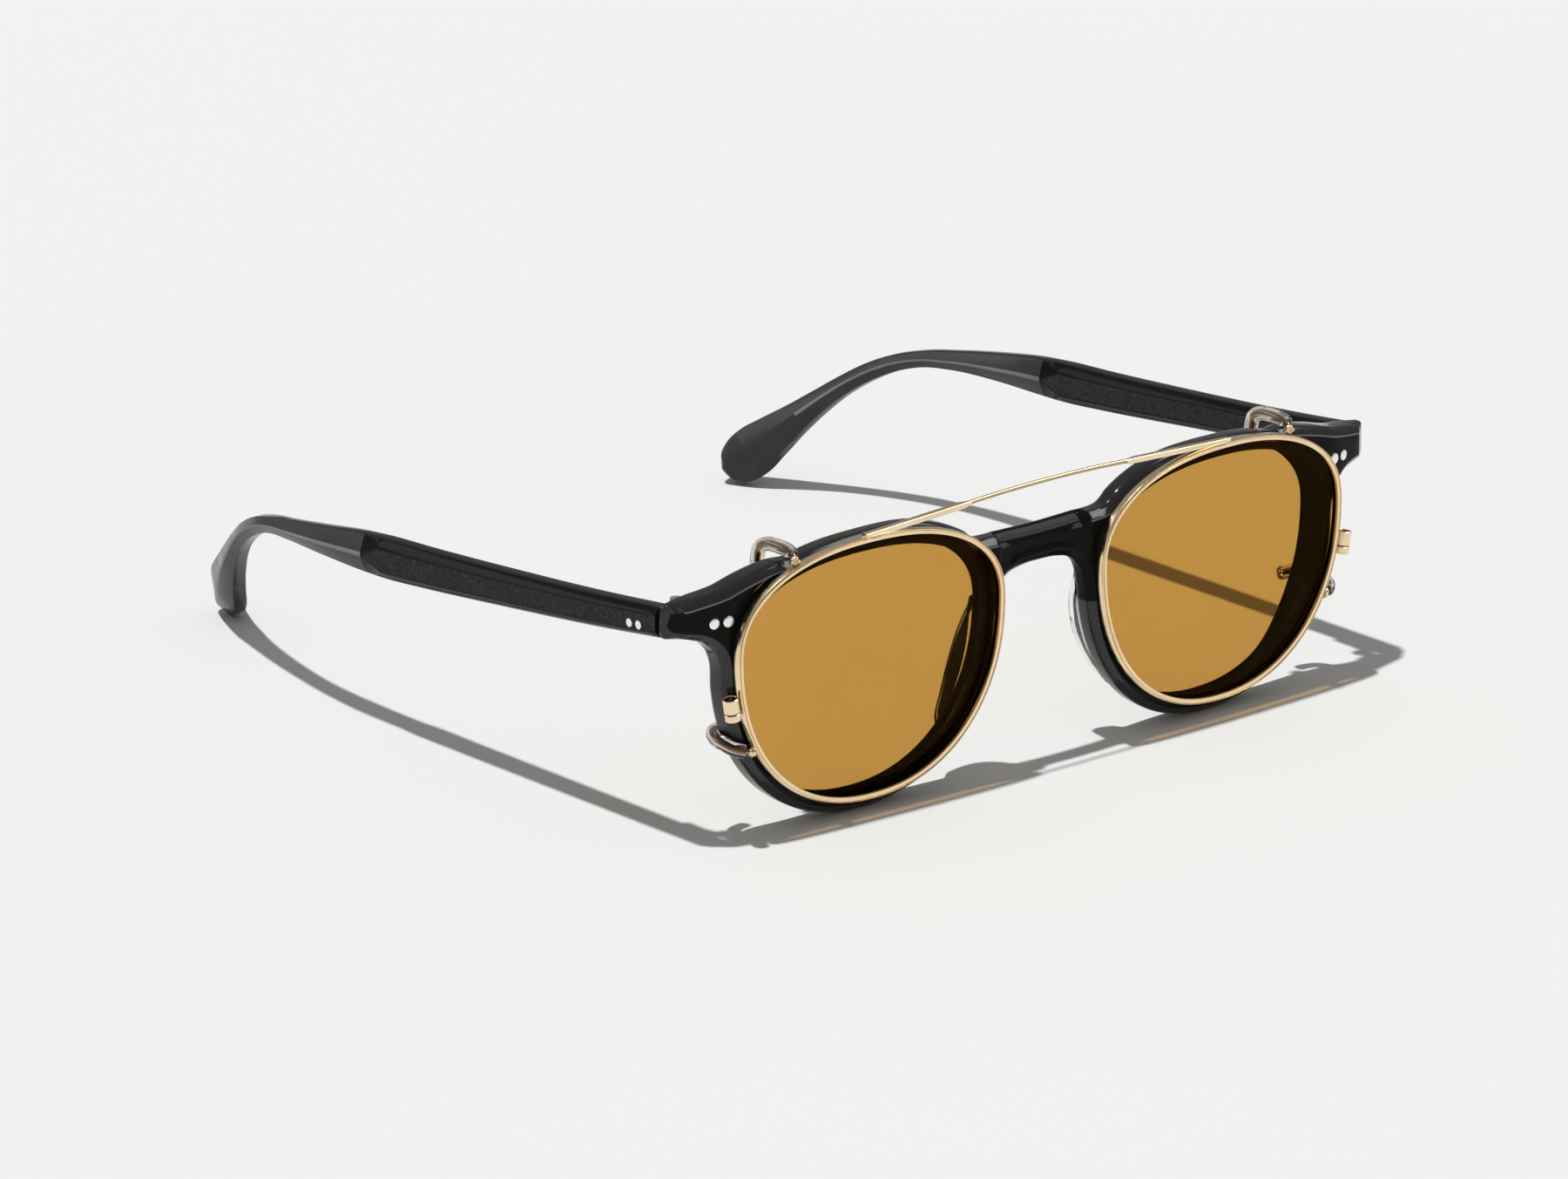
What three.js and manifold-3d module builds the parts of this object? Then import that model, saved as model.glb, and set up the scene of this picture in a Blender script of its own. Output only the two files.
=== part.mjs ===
// An acetate optical frame with a gold wire clip-on pair of sun lenses hooked on its front.
// Millimetres, +Z up. The wearer looks along -Y. The wearer's right side is -X.
// One side is made for +X and mirrored for -X, except where the two differ.
import * as THREE from "three";
import Module from "manifold-3d";
import { mergeVertices, toCreasedNormals } from "three/addons/utils/BufferGeometryUtils.js";

const wasm = await Module();
wasm.setup();

// Eye size and distance between lenses, the two numbers that size a front.
const LENS_WIDTH = 48;
const LENS_GAP = 21;
const LENS_X = (LENS_WIDTH + LENS_GAP) / 2;

// The rim curve is four quarter superellipses that meet at SPLIT above the lens centre.
const SPLIT = 5.9;
const POWER_TOP = 2.27;
const POWER_BOTTOM = 2.17;
const RIM_STEPS = 44;

// Acetate front
const FRONT_Z = 21.35;
const FRONT_HALF = { w: 25.7, top: 21.35, bottom: 21.35 };
const OPENING_HALF = { w: 23.4, top: 18.55, bottom: 18.55 };
const GROOVE_ROOM = 1.0;
const LENS_ROOM = 0.7;
const FRONT_Y = 1.3;
const FRONT_DEEP = 4.1;
const FRONT_BEVEL = 0.7;
const JOINT_Y = 6.9;
const BRIDGE_TOP = 36.9;
const BRIDGE_LOW = 31.2;
const BROW_SWELL = 0.5;
const OUTLINE_STEP = 8;
const WRAP = Math.tan(THREE.MathUtils.degToRad(2));

// The end pieces sweep back from SWEEP_X on, and their outer corners are cut off.
const SWEEP_X = 59.6;
const SWEEP = 0.2;
const CORNER = { x: 67, y: 4.6 };

// Clip-on rims
const CLIP_Z = 22.54;
const CLIP_HALF = { w: 24.95, top: 20.35, bottom: 20.35 };
const CLIP_WIRE = 1.2;
const CLIP_DEEP = 1.3;

// Arms
const ARM_OUT = 69.5;
const ARM_THICK = 4.2;
const ARM_START = JOINT_Y + 0.25;
const ARM_STRAIGHT = 74;

// Hinges
const PIVOT = { x: 63.6, y: 9.3 };
const KNUCKLE_R = 1.3;
const GAP = 0.25;

const REAR_MOST = 134.7;
const FRONT_MOST = -1.5;
const SHIFT_Y = -(REAR_MOST + FRONT_MOST) / 2;

const acetate = { color: 0x17181b, roughness: 0.18, metalness: 0 };
const gold = { color: 0xd9bd8a, roughness: 0.25, metalness: 1 };
const steel = { color: 0xd4d6d8, roughness: 0.3, metalness: 1 };
const clear = { color: 0xe6e8e6, roughness: 0.1, metalness: 0, transparent: true, opacity: 0.3 };
const amber = { color: 0xb98a45, roughness: 0.08, metalness: 0, transparent: true, opacity: 0.75 };
const sleeve = { color: 0xcfc8bd, roughness: 0.2, metalness: 0, transparent: true, opacity: 0.5 };

const clip = new THREE.Group();
clip.name = "clip_on_glasses";

function solid(geometry) {
  const bare = geometry.clone();
  bare.deleteAttribute("normal");
  bare.deleteAttribute("uv");
  const welded = mergeVertices(bare, 1e-4);
  return new wasm.Manifold(
    new wasm.Mesh({
      numProp: 3,
      vertProperties: new Float32Array(welded.attributes.position.array),
      triVerts: new Uint32Array(welded.index.array),
    })
  );
}

function geometryOf(body) {
  const mesh = body.getMesh();
  const geometry = new THREE.BufferGeometry();
  geometry.setAttribute("position", new THREE.BufferAttribute(mesh.vertProperties, 3));
  geometry.setIndex(new THREE.BufferAttribute(mesh.triVerts, 1));
  return geometry;
}

function add(name, geometry, look) {
  const placed = geometry.clone().translate(0, SHIFT_Y, 0);
  placed.deleteAttribute("uv");
  const mesh = new THREE.Mesh(
    toCreasedNormals(placed, Math.PI / 6),
    new THREE.MeshStandardMaterial(look)
  );
  mesh.name = name;
  clip.add(mesh);
}

function mirrored(geometry) {
  const other = geometry.clone().scale(-1, 1, 1);
  if (!other.index) {
    return mirrored(mergeVertices(other.scale(-1, 1, 1)));
  }
  const order = other.index.array;
  for (let i = 0; i < order.length; i += 3) {
    const kept = order[i + 1];
    order[i + 1] = order[i + 2];
    order[i + 2] = kept;
  }
  return other;
}

// The wearer's left piece as made, and its mirror image for the wearer's right.
function addPair(name, geometry, look) {
  const bare = geometry.clone();
  bare.deleteAttribute("normal");
  bare.deleteAttribute("uv");
  const welded = mergeVertices(bare, 1e-4);
  add(`${name}_left`, welded, look);
  add(`${name}_right`, mirrored(welded), look);
}

// Moves every vertex by a rule.
function reshape(geometry, rule) {
  const points = geometry.attributes.position;
  const point = new THREE.Vector3();
  for (let i = 0; i < points.count; i += 1) {
    point.fromBufferAttribute(points, i);
    rule(point);
    points.setXYZ(i, point.x, point.y, point.z);
  }
  return geometry;
}

// The front is bowed by two degrees on each side of the bridge.
function wrapBack(geometry) {
  return reshape(geometry, (p) => {
    p.y += WRAP * (Math.hypot(p.x, 6) - LENS_X);
  });
}

// One point of a rim curve, u outward from the lens centre and v up, inset from the outer size.
function rimPoint(half, inset, angle) {
  const c = Math.cos(angle);
  const s = Math.sin(angle);
  const power = s >= 0 ? POWER_TOP : POWER_BOTTOM;
  const up = s >= 0 ? half.top - SPLIT - inset : half.bottom + SPLIT - inset;
  const u = (half.w - inset) * Math.sign(c) * Math.abs(c) ** (2 / power);
  const v = SPLIT + up * Math.sign(s) * Math.abs(s) ** (2 / power);
  return new THREE.Vector2(u, v);
}

function rimCurve(half, inset, count, centreX = 0, centreZ = 0) {
  const points = [];
  for (let i = 0; i < count; i += 1) {
    const p = rimPoint(half, inset, (2 * Math.PI * i) / count);
    points.push(new THREE.Vector2(p.x + centreX, p.y + centreZ));
  }
  return points;
}

// An outline in x and z made into a body that starts at y and runs back, with small bevels.
function slab(shape, y, deep, bevel, segments = 1) {
  const geometry = new THREE.ExtrudeGeometry(shape, {
    depth: deep - 2 * bevel,
    bevelEnabled: bevel > 0,
    bevelThickness: bevel,
    bevelSize: bevel,
    bevelOffset: -bevel,
    bevelSegments: segments,
    curveSegments: 8,
  });
  geometry.rotateX(Math.PI / 2);
  return geometry.translate(0, y + deep - bevel, 0);
}

function box(x0, x1, y0, y1, z0, z1) {
  const geometry = new THREE.BoxGeometry(x1 - x0, y1 - y0, z1 - z0);
  return geometry.translate((x0 + x1) / 2, (y0 + y1) / 2, (z0 + z1) / 2);
}

function post(x, y, radius, z0, z1, sides = 16) {
  const geometry = new THREE.CylinderGeometry(radius, radius, z1 - z0, sides);
  geometry.rotateX(Math.PI / 2);
  return geometry.translate(x, y, (z0 + z1) / 2);
}

// Acetate front -------------------------------------------------------------------------------

function frontOutline() {
  const half = [];
  const rim = (angle, inset = 0) => {
    const p = rimPoint(FRONT_HALF, inset, angle);
    half.push(new THREE.Vector2(p.x + LENS_X, p.y + FRONT_Z));
  };
  // From the middle of the bridge's underside, down around the rim and back over its top.
  const underside = [[0, 0], [3.2, -0.15], [6, -0.9], [7.8, -2.6]];
  underside.forEach(([x, dz]) => half.push(new THREE.Vector2(x, BRIDGE_LOW + dz)));
  for (let angle = 184; angle <= 364; angle += OUTLINE_STEP) {
    rim(THREE.MathUtils.degToRad(angle));
  }
  const endPiece = [
    [61.2, 29.7], [63.1, 31.4], [66, 32.2], [69.4, 32.7],
    [69.1, 37.6], [66.5, 38.0], [61, 38.9], [56, 40.2], [50.5, 41.3],
  ];
  endPiece.forEach(([x, z]) => half.push(new THREE.Vector2(x, z)));
  for (let angle = 64; angle <= 144; angle += OUTLINE_STEP) {
    const swell = angle > 95 && angle < 155 ? BROW_SWELL : 0;
    rim(THREE.MathUtils.degToRad(angle), -swell);
  }
  half.push(new THREE.Vector2(8.6, BRIDGE_TOP));
  half.push(new THREE.Vector2(4.3, BRIDGE_TOP - 0.1));
  const otherHalf = half
    .slice(1)
    .reverse()
    .map((p) => new THREE.Vector2(-p.x, p.y));
  return [...half, ...otherHalf];
}

// A plate with the rim's curve, for either side.
function lensPlate(side, half, inset, centreZ, y, deep) {
  const shape = new THREE.Shape(rimCurve(half, inset, RIM_STEPS));
  const geometry = slab(shape, y, deep, 0);
  geometry.translate(LENS_X, 0, centreZ);
  return wrapBack(side > 0 ? geometry : mirrored(mergeVertices(geometry, 1e-4)));
}

const RIVET_R = 0.8;
const FRONT_RIVETS = [59.7, 61.9];
const FRONT_RIVET_Z = 34.4;
const RIVET_LONG = 1.5;
const LENS_Y = FRONT_Y + 1.6;
const GROOVE_WIDE = 1.6;
const LENS_THICK = 1.1;

function sweepBack(x) {
  return SWEEP * Math.max(0, Math.abs(x) - SWEEP_X);
}

function frontFaceY(x) {
  return FRONT_Y + WRAP * (Math.hypot(x, 6) - LENS_X) + sweepBack(x);
}

// A short round bar that lies along y, from y0 to y1.
function studY(x, z, radius, y0, y1) {
  const geometry = new THREE.CylinderGeometry(radius, radius, y1 - y0, 14);
  return geometry.translate(x, (y0 + y1) / 2, z);
}

// The block that takes the outer corner off an end piece, at 45 degrees.
function cornerCut(side) {
  const cut = box(0, 10, -8, 8, 28, 45).rotateZ(-Math.PI / 4);
  cut.translate(CORNER.x, CORNER.y, 0);
  return side > 0 ? cut : mirrored(mergeVertices(cut));
}

function makeFront() {
  const shape = new THREE.Shape(frontOutline());
  [1, -1].forEach((side) => {
    const hole = rimCurve(OPENING_HALF, 0, RIM_STEPS, 0, FRONT_Z);
    const placed = hole.map((p) => new THREE.Vector2(side * (p.x + LENS_X), p.y));
    shape.holes.push(new THREE.Path(placed));
  });
  const plate = wrapBack(slab(shape, FRONT_Y, FRONT_DEEP, FRONT_BEVEL));
  reshape(plate, (p) => {
    p.y += sweepBack(p.x);
  });
  let front = solid(plate);
  [1, -1].forEach((side) => {
    const groove = lensPlate(side, OPENING_HALF, -GROOVE_ROOM, FRONT_Z, LENS_Y, GROOVE_WIDE);
    front = front.subtract(solid(groove));
    const xs = side > 0 ? [56, 72] : [-72, -56];
    front = front.subtract(solid(box(...xs, JOINT_Y, JOINT_Y + 5, 28, 45)));
    front = front.subtract(solid(cornerCut(side)));
    FRONT_RIVETS.forEach((x) => {
      const y = frontFaceY(x);
      const hole = studY(side * x, FRONT_RIVET_Z, RIVET_R + GAP, y - 1, y + RIVET_LONG + 0.2);
      front = front.subtract(solid(hole));
    });
  });
  return geometryOf(front);
}

add("frame_front", makeFront(), acetate);
const lensY = LENS_Y + (GROOVE_WIDE - LENS_THICK) / 2;
[["left", 1], ["right", -1]].forEach(([word, side]) => {
  const plate = lensPlate(side, OPENING_HALF, -LENS_ROOM, FRONT_Z, lensY, LENS_THICK);
  add(`lens_${word}`, plate, clear);
});
FRONT_RIVETS.forEach((x, i) => {
  const y = frontFaceY(x);
  const stud = studY(x, FRONT_RIVET_Z, RIVET_R, y, y + RIVET_LONG);
  addPair(`front_rivet_${i + 1}`, stud, steel);
});

// Nose pads: crescents that stand back from the rims and splay toward the face.
const PAD_Y = FRONT_Y + FRONT_DEEP + 0.35;
const PAD_THICK = 2.2;
const PAD_SPLAY = 0.15;
const PAD_IN = 0.4;

function makePad() {
  const shape = new THREE.Shape();
  shape.moveTo(PAD_Y, 8.2);
  shape.bezierCurveTo(7.2, 7.9, 8.6, 12.2, 8.6, 16.8);
  shape.bezierCurveTo(8.6, 21, 7.4, 26.4, PAD_Y, 26.8);
  shape.lineTo(PAD_Y, 8.2);
  const pad = new THREE.ExtrudeGeometry(shape, {
    depth: PAD_THICK - 1,
    bevelThickness: 0.5,
    bevelSize: 0.5,
    bevelOffset: -0.5,
    bevelSegments: 2,
    curveSegments: 5,
  });
  // The outline was drawn with y across and z up; turn it so that its thickness runs along x.
  reshape(pad, (p) => p.set(p.z, p.x, p.y));
  return wrapBack(
    reshape(pad, (p) => {
      const drop = (FRONT_Z + SPLIT - p.z) / (FRONT_HALF.bottom + SPLIT);
      const curve = Math.max(0, 1 - Math.abs(drop) ** POWER_BOTTOM) ** (1 / POWER_BOTTOM);
      p.x += LENS_X - FRONT_HALF.w * curve + PAD_IN + PAD_SPLAY * (p.y - PAD_Y);
    })
  );
}

addPair("nose_pad", makePad(), clear);

// Arms ----------------------------------------------------------------------------------------

// Each station: half height, y, z. The arm drops by six degrees to the bend over the ear.
const ARM_STATIONS = [
  [2.45, ARM_START - 0.8, 35.1],
  [2.6, 20, 33.4],
  [2.85, 45, 30.7],
  [3.05, 63, 28.9],
  [3.15, 72, 28.1],
  [2.9, 78, 27.6],
  [2.2, 88, 26.6],
  [1.55, 97.5, 25.55],
  [1.3, 103, 24.75],
  [1.35, 107.7, 23.35],
  [1.45, 112.5, 21],
  [1.55, 116.7, 18],
  [1.9, 120.4, 14.75],
  [2.5, 123.8, 11.5],
  [3.45, 127.1, 8.2],
  [4.2, 130, 5.2],
  [3.9, 131.6, 3.6],
  [2.9, 132.8, 2.5],
  [1.2, 133.5, 1.9],
].map(([h, y, z]) => new THREE.Vector3(h, y, z));
const armLine = new THREE.CatmullRomCurve3(ARM_STATIONS, false, "chordal");

// How far the arm has bent toward the head at y.
function bentIn(y) {
  return 2.6 * Math.max(0, (y - ARM_STRAIGHT) / 30) ** 2.7;
}

// Place, half height and directions of the arm's section at t from 0 to 1.
function armSection(t) {
  const at = armLine.getPoint(t);
  const ahead = armLine.getPoint(Math.min(1, t + 1e-3));
  const behind = armLine.getPoint(Math.max(0, t - 1e-3));
  const x = (y) => ARM_OUT - ARM_THICK / 2 - bentIn(y);
  const along = new THREE.Vector3(x(ahead.y) - x(behind.y), ahead.y - behind.y, ahead.z - behind.z);
  along.normalize();
  const up = new THREE.Vector3(0, -along.z, along.y).normalize();
  const side = new THREE.Vector3().crossVectors(up, along);
  return { middle: new THREE.Vector3(x(at.y), at.y, at.z), half: at.x, side, up };
}

// Sweeps a section, drawn about its own centre, along part of the arm.
function alongArm(points, steps, from, to, size) {
  const shape = new THREE.Shape(points.map(([a, b]) => new THREE.Vector2(a, b)));
  const geometry = new THREE.ExtrudeGeometry(shape, { depth: 1, steps, bevelEnabled: false });
  return reshape(geometry, (p) => {
    const section = armSection(from + (to - from) * p.z);
    const { a, b } = size(section, p);
    p.copy(section.middle).addScaledVector(section.side, a).addScaledVector(section.up, b);
  });
}

const ARM_SECTION = [
  [1, -0.6], [1, 0.6], [0.55, 1], [-0.55, 1],
  [-1, 0.6], [-1, -0.6], [-0.55, -1], [0.55, -1],
];
const ARM_RIVETS = [[11.0, 33.8], [13.1, 33.6]];
const RIVET_DEEP = 0.7;
const CORE_START = 0.012;
const CORE_END = 0.76;
const CORE_R = 0.6;
const CORE_ROOM = 0.85;

function polygon(count, radius) {
  return Array.from({ length: count }, (_, i) => {
    const angle = (2 * Math.PI * (i + 0.5)) / count;
    return [radius * Math.cos(angle), radius * Math.sin(angle)];
  });
}

// A section that keeps the size it was drawn with.
function plain(section, p) {
  return { a: p.x, b: p.y };
}

function makeArm() {
  const body = alongArm(ARM_SECTION, 34, 0, 1, (section, p) => {
    const round = Math.min(1, 0.55 + section.half / 5);
    return { a: (p.x * ARM_THICK * round) / 2, b: p.y * section.half };
  });
  const room = alongArm(polygon(6, CORE_ROOM), 22, 0, CORE_END + 0.005, plain);
  const ahead = box(60, 75, 0, ARM_START, 25, 45);
  let arm = solid(body).subtract(solid(room)).subtract(solid(ahead));
  ARM_RIVETS.forEach(([y, z]) => {
    const hole = studX(ARM_OUT - RIVET_DEEP - 0.2, ARM_OUT + 1, y, z, RIVET_R + GAP);
    arm = arm.subtract(solid(hole));
  });
  return geometryOf(arm);
}

function studX(x0, x1, y, z, radius) {
  const geometry = new THREE.CylinderGeometry(radius, radius, x1 - x0, 14);
  geometry.rotateZ(Math.PI / 2);
  return geometry.translate((x0 + x1) / 2, y, z);
}

addPair("temple", makeArm(), acetate);
addPair("core_wire", alongArm(polygon(6, CORE_R), 22, CORE_START, CORE_END, plain), steel);
ARM_RIVETS.forEach(([y, z], i) => {
  addPair(`temple_rivet_${i + 1}`, studX(ARM_OUT - RIVET_DEEP, ARM_OUT, y, z, RIVET_R), steel);
});

// Hinges: the front leaf has the two outer knuckles and the arm's leaf the middle one.
const KNUCKLES = [[33.0, 33.9], [34.1, 35.3], [35.5, 36.4]];
const BORE_R = 0.65;
const PIN_R = 0.58;
const LEAF = 0.6;

function knuckle([z0, z1]) {
  return solid(post(PIVOT.x, PIVOT.y, KNUCKLE_R, z0, z1));
}

function makeFrontLeaf() {
  const back = JOINT_Y + GAP;
  let leaf = solid(box(61.2, 64.6, back, back + LEAF, 33.0, 36.4));
  [KNUCKLES[0], KNUCKLES[2]].forEach((span) => {
    const web = box(PIVOT.x - 0.9, PIVOT.x + 0.9, back, PIVOT.y, ...span);
    leaf = leaf.add(knuckle(span)).add(solid(web));
  });
  return geometryOf(leaf.subtract(solid(post(PIVOT.x, PIVOT.y, BORE_R, 30, 40))));
}

function makeArmLeaf() {
  const inner = ARM_OUT - ARM_THICK - GAP;
  const plate = box(inner - LEAF, inner, 11, 16.5, 32.9, 35.3);
  const web = box(inner - LEAF - 0.3, inner, PIVOT.y, 12, KNUCKLES[1][0], 35.3);
  const leaf = knuckle(KNUCKLES[1]).add(solid(plate)).add(solid(web));
  return geometryOf(leaf.subtract(solid(post(PIVOT.x, PIVOT.y, BORE_R, 30, 40))));
}

function makeHingeScrew() {
  const head = post(PIVOT.x, PIVOT.y, 1.05, 36.55, 37.1);
  const shank = post(PIVOT.x, PIVOT.y, PIN_R, 33.1, 36.65);
  const slot = box(PIVOT.x - 1.2, PIVOT.x + 1.2, PIVOT.y - 0.15, PIVOT.y + 0.15, 36.9, 37.5);
  return geometryOf(solid(head).add(solid(shank)).subtract(solid(slot)));
}

addPair("front_hinge", makeFrontLeaf(), steel);
addPair("temple_hinge", makeArmLeaf(), steel);
addPair("hinge_screw", makeHingeScrew(), steel);

// Clip-on -------------------------------------------------------------------------------------

function makeClipRim() {
  const shape = new THREE.Shape(rimCurve(CLIP_HALF, 0, RIM_STEPS));
  shape.holes.push(new THREE.Path(rimCurve(CLIP_HALF, CLIP_WIRE, RIM_STEPS)));
  const ring = slab(shape, -CLIP_DEEP / 2, CLIP_DEEP, 0.25).translate(LENS_X, 0, CLIP_Z);
  const groove = lensPlate(1, CLIP_HALF, 0.5, CLIP_Z, -0.35, 0.7);
  return geometryOf(solid(wrapBack(ring)).subtract(solid(groove)));
}

const sunLens = lensPlate(1, CLIP_HALF, 0.75, CLIP_Z, -0.2, 0.4);
addPair("clip_rim", makeClipRim(), gold);
addPair("clip_lens", sunLens, amber);

const WIRE_SIDES = 8;

// A wire or tube swept along points. inner is the radius of its hole, if it has one.
function swept(points, radius, inner = 0, steps = 11) {
  const shape = new THREE.Shape(
    polygon(WIRE_SIDES, radius).map(([a, b]) => new THREE.Vector2(a, b))
  );
  if (inner) {
    const hole = polygon(WIRE_SIDES, inner).map(([a, b]) => new THREE.Vector2(a, b));
    shape.holes.push(new THREE.Path(hole));
  }
  const path = new THREE.CatmullRomCurve3(points.map((p) => new THREE.Vector3(...p)));
  return new THREE.ExtrudeGeometry(shape, { steps, extrudePath: path });
}

const BAR_R = 0.4;
const BAR_END = 16.2;
const BAR_Z = 43.75;
const BAR_RISE = 0.5;
const FOOT_END = 35.8;
const FOOT_DROP = 0.3;

// The brow wire bows up by BAR_RISE in the middle.
const barPoints = [-1, -0.66, -0.33, 0, 0.33, 0.66, 1].map((t) => [
  t * BAR_END,
  0,
  BAR_Z + BAR_RISE * (1 - t * t),
]);
add("clip_bar", swept(barPoints, BAR_R, 0, 12), gold);

function makeFoot() {
  const foot = box(BAR_END + GAP, FOOT_END, -0.5, 0.5, -0.3, 0.3);
  return reshape(foot, (p) => {
    p.z += BAR_Z - (FOOT_DROP * (p.x - BAR_END)) / (FOOT_END - BAR_END);
  });
}

addPair("bar_foot", makeFoot(), gold);

// Hooks: bent wires with a clear sleeve over the part that touches the acetate.
const HOOK_R = 0.4;
const SLEEVE_IN = 0.56;
const SLEEVE_OUT = 0.95;
const HOOKS = {
  upper: [
    [48.6, 0, 41.8], [48.6, 0.3, 42.35], [48.6, 1.4, 42.9], [48.6, 3.9, 43.05],
    [48.6, 6.3, 42.8], [48.6, 7.9, 41.9], [48.6, 8.5, 40.2], [48.6, 8.5, 38.6],
  ],
  lower: [
    [56.8, 0, 14.1], [57.6, 0.3, 14.2], [58.9, 1.4, 14.6], [59.4, 3.1, 15.0],
    [59.2, 5.3, 15.3], [57.8, 7.3, 15.5], [55, 8.1, 15.5],
  ],
};

Object.entries(HOOKS).forEach(([place, points]) => {
  addPair(`hook_${place}`, wrapBack(swept(points, HOOK_R)), gold);
  const covered = points.slice(2);
  addPair(`sleeve_${place}`, wrapBack(swept(covered, SLEEVE_OUT, SLEEVE_IN, 9)), sleeve);
});

// Closing blocks: a split barrel on the outer side of each rim, drawn together by a screw.
const BLOCK = { x: 60.45, y: 0, r: 1.25, low: 19.6, split: 20.8, high: 23.1 };
const BLOCK_LEAN = THREE.MathUtils.degToRad(8);

function leaning(geometry) {
  return geometry
    .translate(-BLOCK.x, 0, -BLOCK.split)
    .rotateY(BLOCK_LEAN)
    .translate(BLOCK.x, 0, BLOCK.split);
}

function barrel(z0, z1) {
  const body = solid(post(BLOCK.x, BLOCK.y, BLOCK.r, z0, z1, 20));
  const bore = solid(post(BLOCK.x, BLOCK.y, 0.65, z0 - 1, z1 + 1));
  return wrapBack(leaning(geometryOf(body.subtract(bore))));
}

function makeBlockScrew() {
  const head = post(BLOCK.x, BLOCK.y, 0.95, BLOCK.high + 0.15, BLOCK.high + 0.7);
  const shank = post(BLOCK.x, BLOCK.y, 0.45, BLOCK.low + 0.3, BLOCK.high + 0.2);
  const x = BLOCK.x;
  const slot = box(x - 1.2, x + 1.2, -0.14, 0.14, BLOCK.high + 0.5, BLOCK.high + 1);
  const screw = solid(head).add(solid(shank)).subtract(solid(slot));
  return wrapBack(leaning(geometryOf(screw)));
}

addPair("block_lower", barrel(BLOCK.low, BLOCK.split - 0.1), gold);
addPair("block_upper", barrel(BLOCK.split + 0.1, BLOCK.high), gold);
addPair("block_screw", makeBlockScrew(), steel);

export default clip;
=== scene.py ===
"""Optical frame with a clip-on pair of sun lenses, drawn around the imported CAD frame."""

import math

import bmesh
import bpy
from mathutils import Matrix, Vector
from mathutils.geometry import delaunay_2d_cdt


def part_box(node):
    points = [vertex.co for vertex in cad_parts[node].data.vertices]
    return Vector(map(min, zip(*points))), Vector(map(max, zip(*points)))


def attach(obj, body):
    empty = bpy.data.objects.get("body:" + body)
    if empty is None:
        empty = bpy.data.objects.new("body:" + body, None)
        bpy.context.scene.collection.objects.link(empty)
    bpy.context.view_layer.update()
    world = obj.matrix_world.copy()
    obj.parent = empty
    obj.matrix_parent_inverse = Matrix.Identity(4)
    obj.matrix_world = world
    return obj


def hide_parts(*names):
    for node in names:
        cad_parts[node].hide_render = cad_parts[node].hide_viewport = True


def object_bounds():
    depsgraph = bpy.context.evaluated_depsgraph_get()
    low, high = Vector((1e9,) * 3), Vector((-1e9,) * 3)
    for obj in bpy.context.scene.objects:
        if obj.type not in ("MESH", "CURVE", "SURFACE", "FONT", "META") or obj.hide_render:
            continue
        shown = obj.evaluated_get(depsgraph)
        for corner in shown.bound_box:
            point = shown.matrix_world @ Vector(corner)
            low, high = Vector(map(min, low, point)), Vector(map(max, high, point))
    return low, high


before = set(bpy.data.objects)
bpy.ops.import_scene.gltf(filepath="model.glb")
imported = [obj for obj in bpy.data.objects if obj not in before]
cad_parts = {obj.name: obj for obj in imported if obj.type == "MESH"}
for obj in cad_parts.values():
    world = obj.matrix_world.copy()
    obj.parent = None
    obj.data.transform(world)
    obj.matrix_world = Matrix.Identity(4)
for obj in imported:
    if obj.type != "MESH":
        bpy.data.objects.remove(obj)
cad_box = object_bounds()

MM = 0.001
SIDES = {"left": 1, "right": -1}

# The CAD model's driving sizes, in millimetres, in its own frame before it is centred.
LENS_X = 34.5
SPLIT = 5.9
POWER_TOP = 2.27
POWER_BOTTOM = 2.17
FRONT_Z = 21.35
FRONT_HALF = (25.7, 21.35)
OPENING_HALF = (23.4, 18.55)
CLIP_Z = 22.54
CLIP_HALF = (24.95, 20.35)
FRONT_Y = 1.3
BACK_Y = 5.4
JOINT_Y = 6.9
ARM_START = 7.15
ARM_OUT = 69.5
ARM_THICK = 4.2
WRAP = math.tan(math.radians(2))
WRAP_EASE = 6
SWEEP_X = 59.6
SWEEP = 0.2
END_PIECE_X = 55
CORNER = (67, 4.6)
CORNER_SLOPE = 0.92

# The back of the front is this much deeper on the temple side, from y BACK_FROM on.
DEEPER = 0.7
DEEPER_SPAN = (46, 56)
BACK_FROM = 4.5

# The CAD is centred along y after it is built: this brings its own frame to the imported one.
SHIFT_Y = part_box("temple_left")[0][1] / MM - ARM_START


# ---------------------------------------------------------------- shapes in numbers


def smooth(edge0, edge1, value):
    """0 at edge0, 1 at edge1, with a soft change between."""
    t = min(1.0, max(0.0, (value - edge0) / (edge1 - edge0)))
    return t * t * (3 - 2 * t)


def mix(a, b, t):
    """a where t is 0, b where t is 1."""
    return a + (b - a) * t


def wrapped(x, y, z):
    """The front is bowed by two degrees on each side of the bridge."""
    return (x, y + WRAP * (math.hypot(x, WRAP_EASE) - LENS_X), z)


def front_place(x, y, z):
    """A point of the front: its end pieces sweep back and have their outer corners cut off."""
    x, y, z = wrapped(x, y, z)
    out = abs(x)
    y += SWEEP * max(0.0, out - SWEEP_X)
    if y > BACK_FROM:
        y += DEEPER * smooth(*DEEPER_SPAN, out)
    if out > CORNER[0] - 1:
        y = max(y, CORNER[1] + CORNER_SLOPE * (out - CORNER[0]))
    if out > END_PIECE_X:
        y = min(y, JOINT_Y)
    return (x, y, z)


def signed_power(value, power):
    """A power that keeps the sign of the value."""
    return math.copysign(abs(value) ** power, value)


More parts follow.
